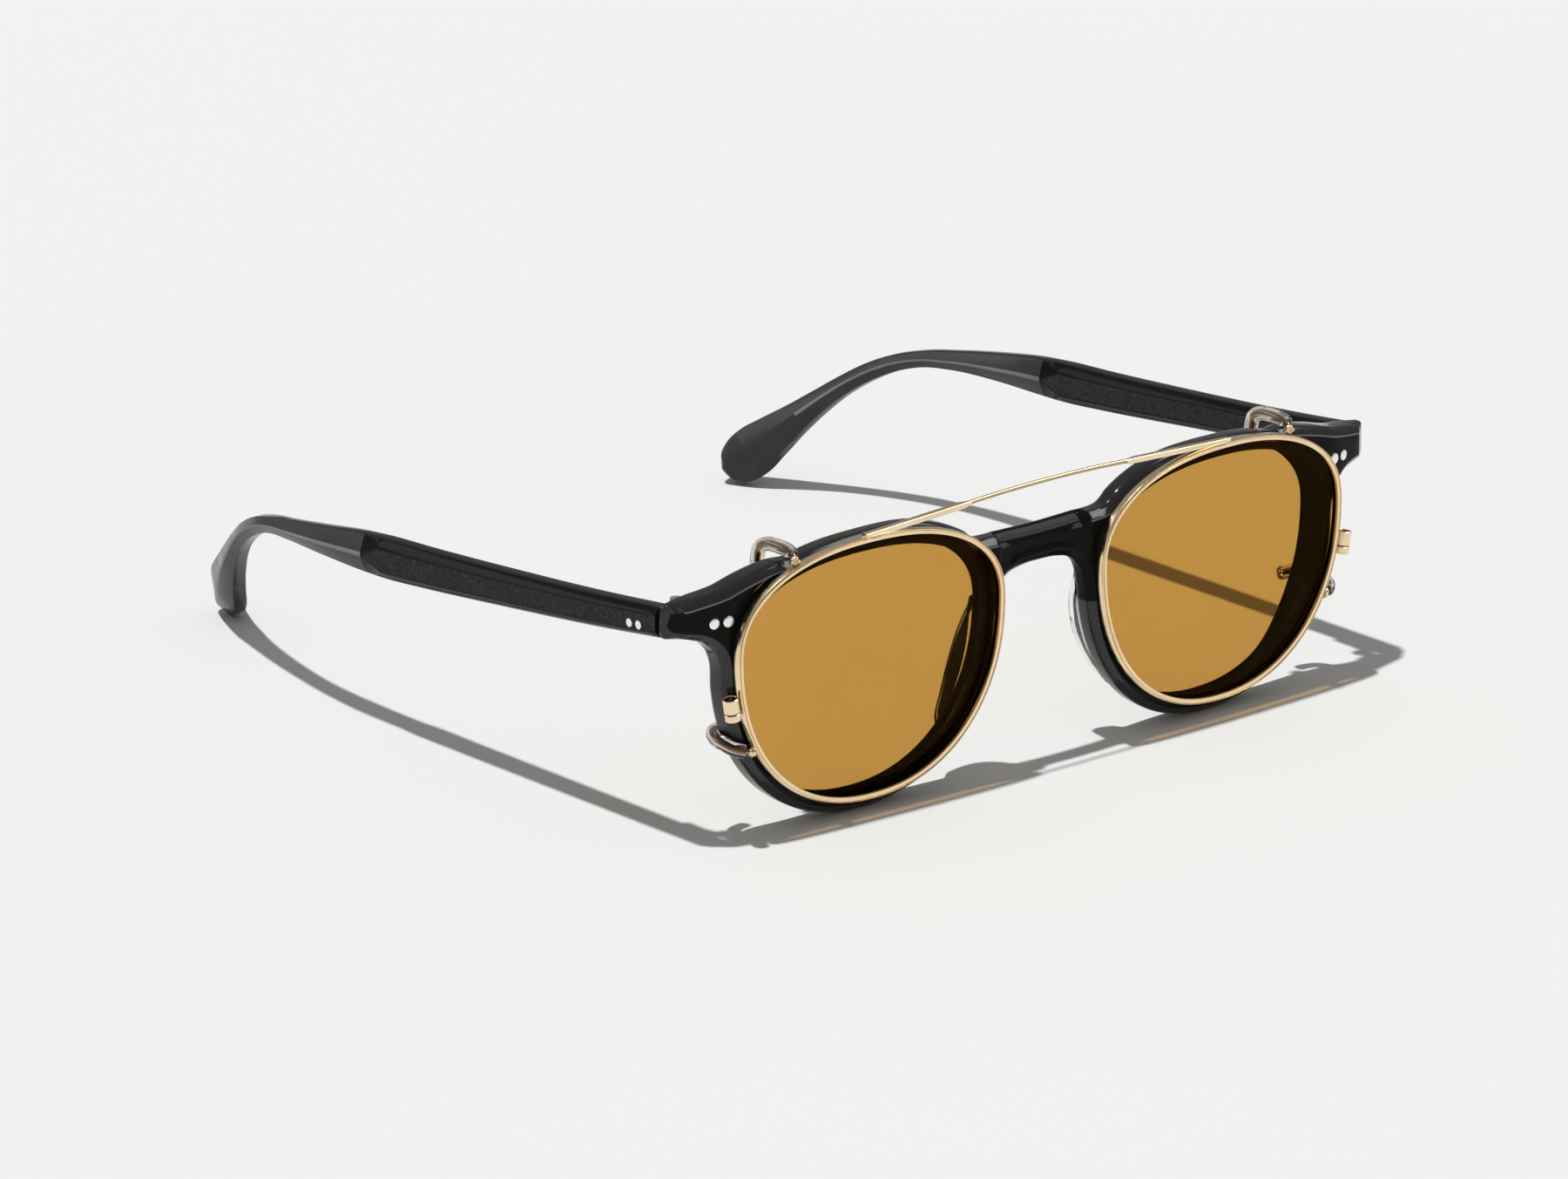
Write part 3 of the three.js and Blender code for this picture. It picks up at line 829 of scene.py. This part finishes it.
# Where the pad joins the rim it takes the black acetate: painted shade for the dark that shows
# through the clear pad.
PAD_LOOKS = [PAD, ACETATE]
SEE_THROUGH, PAINTED_SHADE_PART = range(2)


def pad_place(across, y, z):
    """A point of a pad, placed against the inner side of its rim. across is its thickness."""
    drop = (FRONT_Z + SPLIT - z) / (FRONT_HALF[1] + SPLIT)
    curve = max(0.0, 1 - abs(drop) ** POWER_BOTTOM) ** (1 / POWER_BOTTOM)
    x = across + LENS_X - FRONT_HALF[0] * curve + PAD_IN + PAD_SPLAY * (y - PAD_Y)
    return wrapped(x, y, z)


def build_pad():
    """A crescent on the back of the rim, clear at its edge, with painted shade in black acetate
    where it joins.
    """
    low, high = PAD_ENDS
    curve = through([(PAD_Y, low), *PAD_EDGE, (PAD_Y, high)], 60)
    back = [Vector((PAD_Y, mix(high, low, k / 20))) for k in range(1, 20)]
    outline = list(curve) + back
    normals = outward(outline)
    free = [1 - smooth(PAD_Y + 1.2, PAD_Y + 0.1, p.x) for p in outline]
    middle = Vector((PAD_Y + 1.5, 17))
    half = [(0.9, 0), (0.42, 0.1), (0.12, 0.38), (0, 0.8)]
    profile = half + [(inset, PAD_THICK - across) for inset, across in reversed(half)]

    def ring(inset, across, share):
        points = [p - n * inset * f for p, n, f in zip(outline, normals, free)]
        points = [middle.lerp(p, share) for p in points]
        return [pad_place(across, p.x, p.y) for p in points]

    shares = (0.1, 0.4, 0.7)
    loops = [ring(0.9, 0, share) for share in shares]
    loops += [ring(inset, across, 1) for inset, across in profile]
    loops += [ring(0.9, PAD_THICK, share) for share in reversed(shares)]
    verts, faces = skin(loops, ends=True)
    # The outer rings stay clear; the rest has the painted shade.
    clear_rings = len(shares) + len(profile) - 1
    choice = [SEE_THROUGH] * (clear_rings * len(outline))
    choice += [PAINTED_SHADE_PART] * (len(faces) - len(choice) - 2) + [SEE_THROUGH, PAINTED_SHADE_PART]
    return verts, faces, choice


pair("moulded_pad", build_pad, PAD_LOOKS, "frame", ["nose_pad"], 45)


# ---------------------------------------------------------------- arms

# The arm's run as (half height, y, z of its middle line).
ARM_STATIONS = [
    (2.3, ARM_START - 0.8, 35.0), (2.45, 20, 33.25), (2.75, 45, 30.6), (3.0, 63, 28.9),
    (3.1, 72, 28.2), (2.9, 78, 27.8), (2.15, 88, 26.95), (1.5, 97.5, 25.9), (1.3, 103, 25.05),
    (1.35, 107.9, 23.6), (1.45, 113, 21.1), (1.55, 117.4, 18.1), (1.9, 121.3, 14.8),
    (2.5, 124.8, 11.5), (3.45, 128.1, 8.2), (4.2, 131, 5.2), (3.9, 132.6, 3.6),
    (2.9, 133.8, 2.5), (1.2, 134.5, 1.9),
]
ARM_LINE = [Vector(s) for s in ARM_STATIONS]
ARM_STEPS = 190
ARM_STRAIGHT = 74
ARM_BEND = 2.6
ARM_BEND_RUN = 30
ARM_BEND_POWER = 2.7
PANEL_END = 76.7
PANEL_POINT = 4.7
PANEL_HALF = 0.6
RIDGE_HALF = 0.07
HIGHLIGHT_END = 124
TIP_SPAN = (124, 133)
ARM_LOOKS = [ACETATE, MATTE, PAINTED_SHEEN_TIP, RIDGE_HIGHLIGHT_GREY]
PLAIN, PANEL, SHEEN_FACETS, RIDGE_HIGHLIGHT = range(4)


def arm_x(y):
    """The middle of the arm's thickness, which bends toward the head behind the straight part."""
    bend = max(0.0, (y - ARM_STRAIGHT) / ARM_BEND_RUN) ** ARM_BEND_POWER
    return ARM_OUT - ARM_THICK / 2 - ARM_BEND * bend


def arm_frame(t):
    """The arm's middle, half height, and the directions of its side and top."""
    at, ahead, behind = (spline(ARM_LINE, min(1, max(0, u))) for u in (t, t + 1e-3, t - 1e-3))
    along = Vector((arm_x(ahead.y) - arm_x(behind.y), ahead.y - behind.y, ahead.z - behind.z))
    along.normalize()
    up = Vector((0, -along.z, along.y)).normalized()
    return Vector((arm_x(at.y), at.y, at.z)), at.x, up.cross(along), up


def arm_section(y):
    """The section as shares of half thickness and half height, three points to each corner.

    The flat side narrows to a ridge where the panel comes to its point.
    """
    flat = min(PANEL_HALF, max(RIDGE_HALF, PANEL_HALF * (PANEL_END - y) / PANEL_POINT))
    top = [(1, flat), (0.52, 1), (-0.52, 1), (-1, flat)]
    sharp = [(1, -flat), *top, *((x, -z) for x, z in top[:0:-1])]
    corners = rounded(sharp, 0.09, 2)
    soft = smooth(*TIP_SPAN, y)
    out = []
    for p in corners:
        angle = math.atan2(p.y, p.x)
        ball = Vector((signed_power(math.cos(angle), 0.8), signed_power(math.sin(angle), 0.8)))
        out.append(p.lerp(ball, 0.75 * soft))
    return out


def arm_material(y, i):
    """The material number of facet i round the section. Facets 2 and 14 are the two flat sides."""
    from_corner = i % 12
    if y < PANEL_END - 0.5:
        return PANEL if from_corner == 2 else PLAIN
    # Facets at the ridge take the painted highlight, short of the tip.
    if from_corner <= 4 and y < HIGHLIGHT_END:
        return RIDGE_HIGHLIGHT
    # The top facets stay black; the rest take the lighter grey of painted sheen.
    return PLAIN if i in (7, 8, 9) else SHEEN_FACETS


def build_arm():
    """An arm with its flat panels, its ridge behind them and its rounded tip."""
    loops, rows = [], []
    for i in range(ARM_STEPS + 1):
        middle, half, side, up = arm_frame(i / ARM_STEPS)
        thin = min(1.0, 0.55 + half / 5) * ARM_THICK / 2
        loop = []
        for p in arm_section(middle.y):
            q = middle + side * p.x * thin + up * p.y * half
            q.y = max(q.y, ARM_START)
            loop.append(q)
        loops.append(loop)
        rows.append(middle.y)
    verts, faces = skin(loops, ends=True)
    choice = [arm_material(y, i) for y in rows[:-1] for i in range(len(loops[0]))]
    choice += [PLAIN, SHEEN_FACETS]
    return verts, faces, choice


pair("arm", build_arm, ARM_LOOKS, "temple_{}", ["temple"], 20)


# ---------------------------------------------------------------- rivets

RIVET_R = 0.9
FRONT_RIVETS = [(59.7, 34.4), (61.9, 34.4)]
ARM_RIVETS = [(11.0, 33.8), (13.1, 33.6)]

RIVET_FACE = [
    (0, 0.08), (0.35, 0.075), (0.62, 0.055), (0.8, 0.01), (0.87, -0.04), (RIVET_R, -0.12),
    (RIVET_R, -0.6), (0, -0.6),
]

for number, (x, z) in enumerate(FRONT_RIVETS, 1):
    centre = front_place(x, FRONT_Y, z)
    pair(
        f"front_stud_{number}",
        lambda c=centre: lathe(RIVET_FACE, c, (SWEEP, -1, 0)),
        SILVER, "frame", [f"front_rivet_{number}"],
    )
for number, (y, z) in enumerate(ARM_RIVETS, 1):
    pair(
        f"arm_stud_{number}",
        lambda c=(ARM_OUT - 0.05, y, z): lathe(RIVET_FACE, c, (1, 0, 0)),
        SILVER, "temple_{}", [f"temple_rivet_{number}"],
    )


# ---------------------------------------------------------------- clip-on

# The rim's section as (distance inward, y), with a fine groove in front and the lens groove inside.
CLIP_PROFILE = [
    (0.95, -0.45), (0.87, -0.62), (0.42, -0.66), (0.36, -0.46), (0.24, -0.46), (0.18, -0.66),
    (0.05, -0.6), (0, -0.45), (0, 0.45), (0.12, 0.62), (0.82, 0.65), (0.92, 0.48), (0.92, 0.3),
    (0.72, 0.28), (0.72, -0.28), (0.95, -0.3),
]
# These rows of the gold rim are painted dark brown as shade.
CLIP_SHADE_ROWS = range(10, 15)


def build_clip_rim():
    """A gold rim, with painted shade in dark brown on the seat inside it for the lens."""
    loops = []
    for inset, y in CLIP_PROFILE:
        curve = rim_curve(CLIP_HALF, inset, CLIP_Z, 220)
        loops.append([wrapped(x, y, z) for x, z in curve])
    verts, faces = skin(loops, section_closed=True)
    per_row = len(loops[0])
    choice = [int(row in CLIP_SHADE_ROWS) for row in range(len(loops)) for _ in range(per_row)]
    return verts, faces, choice


pair("gold_rim", build_clip_rim, [GOLD, PAINTED_SHADE_SEAT], "clip", ["clip_rim"], 40)

BAR_R = 0.33
BAR_END = 16.2
BAR_LAP = 0.6
BAR_Z = 43.75
BAR_RISE = 0.5


def build_bar():
    """The round wire that arches from rim to rim."""
    path = []
    for k in range(61):
        t = -1 + k / 30
        path.append(Vector((t * (BAR_END + BAR_LAP), 0, BAR_Z + BAR_RISE * (1 - t * t))))
    return tube(path, [BAR_R] * len(path), 18)


# The brow wire takes the darker gold of painted shade.
bar_verts, bar_faces = build_bar()
make("brow_wire", bar_verts, bar_faces, SHADED_WIRE_GOLD, "clip", ["clip_bar"])

FOOT_DROP = 0.85
FOOT_START = BAR_END - 0.9
FOOT_FULL = BAR_END + 1.0
FOOT_END = 35.8
FOOT_NECK = 0.34
FOOT_HALF_Y = 0.55
FOOT_HALF_Z = 0.42


def build_foot():
    """The flattened end of the wire that lies along the top of a rim."""
    loops = []
    for k in range(41):
        x = mix(FOOT_START, FOOT_END, k / 40)
        share = smooth(FOOT_START, FOOT_FULL, x)
        z = BAR_Z - FOOT_DROP * max(0.0, x - BAR_END) / (FOOT_END - BAR_END)
        half_y = mix(FOOT_NECK, FOOT_HALF_Y, share)
        half_z = mix(FOOT_NECK, FOOT_HALF_Z, share)
        corners = [(half_y, half_z), (-half_y, half_z), (-half_y, -half_z), (half_y, -half_z)]
        loops.append([Vector((x, a, z + b)) for a, b in rounded(corners, mix(0.3, 0.1, share), 3)])
    return skin(loops, ends=True)


pair("brow_foot", build_foot, GOLD, "clip", ["bar_foot"])

HOOK_R = 0.4
HOOK_STEPS = 60
SLEEVE_R = 1.08
SLEEVE_GAP = 0.04
SLEEVE_SOFT = 0.12
SLEEVE_FROM = 7
HOOKS = {
    "upper": [
        (48.6, 0, 41.25), (48.6, 0.3, 42.3), (48.6, 1.4, 42.9), (48.6, 3.9, 43.05),
        (48.6, 6.3, 42.8), (48.6, 7.9, 41.9), (48.6, 8.5, 40.2), (48.6, 8.5, 38.6),
    ],
    "lower": [
        (56.0, 0, 14.1), (57.3, 0.3, 14.2), (58.7, 1.4, 14.6), (59.2, 3.1, 15.0),
        (59.0, 5.3, 15.3), (57.6, 7.4, 15.5), (54.8, 8.2, 15.5),
    ],
}
HOOK_BASE = [
    (0, -0.3), (0.75, -0.3), (0.85, -0.2), (0.85, 0.15), (0.72, 0.25), (0.62, 0.28),
    (0.62, 0.6), (0.5, 0.72), (0, 0.72),
]


def hook_path(points):
    """The middle line of a hook, bowed as the front is."""
    return [Vector(wrapped(*p)) for p in through(points, HOOK_STEPS, 0.5)]


def build_hook(points):
    """A bent wire with a small turned base where it leaves the rim."""
    path = hook_path(points)
    base = lathe(HOOK_BASE, path[2], path[4] - path[0], 24)
    wire = tube(*round_ends(path, HOOK_R), 16)
    return *join(wire, base), [0] * len(wire[1]) + [1] * len(base[1])


def build_sleeve(points):
    """A clear tube over the hook, which leaves the wire bare next to the rim."""
    rings = frames_along(hook_path(points)[SLEEVE_FROM:])
    radii = [SLEEVE_R] * len(rings)
    radii[0] = radii[-1] = SLEEVE_R - SLEEVE_SOFT
    bore = HOOK_R + SLEEVE_GAP
    loops = [circle(*ring, radius, 20) for ring, radius in zip(rings, radii)]
    loops += [circle(*ring, bore, 20) for ring in reversed(rings)]
    return skin(loops, section_closed=True)


for where, points in HOOKS.items():
    pair(
        f"{where}_hook_wire", lambda p=points: build_hook(p),
        [CORE, GOLD], "clip", [f"hook_{where}"],
    )
    pair(
        f"{where}_hook_sleeve", lambda p=points: build_sleeve(p),
        SLEEVE, "clip", [f"sleeve_{where}"], 50,
    )

BLOCK_X, BLOCK_LOW, BLOCK_SPLIT, BLOCK_HIGH = 60.15, 19.7, 20.9, 23.2
BLOCK_R = 1.2
BLOCK_BORE = 0.92
BLOCK_LEAN = math.radians(10)


def block_axis():
    """The way that the blocks and their screw point."""
    return Vector((math.sin(BLOCK_LEAN), 0, math.cos(BLOCK_LEAN)))


def build_barrel(z0, z1):
    """One half of a closing block, with a bore for the screw and softened edges."""
    bore, soft = BLOCK_BORE, 0.08
    profile = [
        (bore, z0 + soft), (bore + soft, z0), (BLOCK_R - soft, z0), (BLOCK_R, z0 + soft),
        (BLOCK_R, z1 - soft), (BLOCK_R - soft, z1), (bore + soft, z1), (bore, z1 - soft),
    ]
    centre = Vector(wrapped(BLOCK_X, 0, BLOCK_SPLIT))
    axis = block_axis()
    a = Vector((0, 1, 0))
    b = axis.cross(a)
    loops = []
    for radius, z in profile:
        loops.append(circle(centre + axis * (z - BLOCK_SPLIT), a, b, radius, 40))
    return skin(loops, section_closed=True)


def build_block_screw():
    """The screw in a closing block. Its dimpled head lies a little below the block's top."""
    centre = Vector(wrapped(BLOCK_X, 0, BLOCK_SPLIT)) + block_axis() * (BLOCK_HIGH - BLOCK_SPLIT)
    profile = [
        (0, -0.35), (0.25, -0.33), (0.32, -0.17), (0.76, -0.15), (0.86, -0.25), (0.88, -0.5),
        (0.88, -3.3), (0, -3.3),
    ]
    return lathe(profile, centre, block_axis())


pair(
    "closing_block_low", lambda: build_barrel(BLOCK_LOW, BLOCK_SPLIT - 0.08),
    GOLD, "clip", ["block_lower"],
)
pair(
    "closing_block_high", lambda: build_barrel(BLOCK_SPLIT + 0.08, BLOCK_HIGH),
    GOLD, "clip", ["block_upper"],
)
# The screw takes the dark gold of painted shade.
pair("closing_screw", build_block_screw, SHADED_SCREW_GOLD, "clip", ["block_screw"])


# ---------------------------------------------------------------- CAD nodes that stay


def dress(node, material):
    """Gives a CAD node a fine material and softly rounded edges."""
    piece = bpy.data.objects[node]
    piece.data.materials.clear()
    piece.data.materials.append(material)
    edge = piece.modifiers.new("edges", "BEVEL")
    edge.width = 0.08 * MM
    edge.segments = 2
    edge.limit_method = "ANGLE"
    edge.angle_limit = math.radians(40)


for word in SIDES:
    for node in ("front_hinge", "temple_hinge", "hinge_screw", "core_wire"):
        dress(f"{node}_{word}", STEEL)


# ---------------------------------------------------------------- floor, light and camera


FLOOR_HALF = 6.0


def make_floor():
    """A pale sheet at the height that the frame stands on."""
    mesh = bpy.data.meshes.new("floor")
    far = FLOOR_HALF
    corners = [(-far, -far), (far, -far), (far, far), (-far, far)]
    mesh.from_pydata([(x, y, cad_box[0][2]) for x, y in corners], [], [(0, 1, 2, 3)])
    floor = bpy.data.objects.new("floor", mesh)
    bpy.context.scene.collection.objects.link(floor)
    look = Look("pale_floor").set(Specular_IOR_Level=0.0)
    look.colours(look.noise(3, 2), (0.795, 0.80, 0.785), (0.80, 0.805, 0.79))
    look.set(Roughness=0.9)
    mesh.materials.append(look.material)


def make_sun(name, aim, strength, angle, colour=(1, 1, 1)):
    lamp = bpy.data.lights.new(name, "SUN")
    lamp.energy = strength
    lamp.angle = math.radians(angle)
    lamp.color = colour
    holder = bpy.data.objects.new(name, lamp)
    holder.rotation_euler = Vector(aim).to_track_quat("-Z", "Y").to_euler()
    bpy.context.scene.collection.objects.link(holder)


def make_box_light(name, at, aim, size, power):
    """A softbox that only shows as a highlight on polished faces."""
    lamp = bpy.data.lights.new(name, "AREA")
    lamp.shape = "RECTANGLE"
    lamp.size, lamp.size_y = size
    lamp.energy = power
    holder = bpy.data.objects.new(name, lamp)
    holder.location = at
    holder.visible_diffuse = False
    holder.rotation_euler = (Vector(aim) - Vector(at)).to_track_quat("-Z", "Y").to_euler()
    bpy.context.scene.collection.objects.link(holder)


def make_world(strength):
    world = bpy.data.worlds.new("studio")
    world.use_nodes = True
    back = world.node_tree.nodes["Background"]
    back.inputs["Color"].default_value = (1, 1, 0.99, 1)
    back.inputs["Strength"].default_value = strength
    bpy.context.scene.world = world


VIEW_AZIMUTH = math.radians(-40.09)
VIEW_ELEVATION = math.radians(18.55)
VIEW_DISTANCE = 1677.3
VIEW_TARGET = (-51.1, 0.0, 38.06)
VIEW_LENS = 265.34


def make_camera():
    camera = bpy.data.cameras.new("camera")
    camera.sensor_fit = "HORIZONTAL"
    camera.sensor_width = 36
    camera.lens = VIEW_LENS
    camera.clip_end = 50
    holder = bpy.data.objects.new("camera", camera)
    back = Vector(
        (
            math.sin(VIEW_AZIMUTH) * math.cos(VIEW_ELEVATION),
            -math.cos(VIEW_AZIMUTH) * math.cos(VIEW_ELEVATION),
            math.sin(VIEW_ELEVATION),
        )
    )
    x, y, z = VIEW_TARGET
    target = Vector((x * MM, (y + SHIFT_Y) * MM, z * MM))
    holder.location = target + back * VIEW_DISTANCE * MM
    holder.rotation_euler = back.to_track_quat("Z", "Y").to_euler()
    bpy.context.scene.collection.objects.link(holder)
    bpy.context.scene.camera = holder


make_floor()
make_world(0.28)
make_sun("key", (0.187, -0.075, -0.982), 2.66, 2.0)
make_box_light("soft_front", (0.92, -0.5, 1.08), (0, 0, 0), (0.9, 0.7), 11)
make_box_light("soft_back", (-0.72, 1.05, 0.72), (0, 0, 0), (0.6, 0.5), 1.5)
make_camera()
bpy.context.scene.view_settings.view_transform = "Standard"
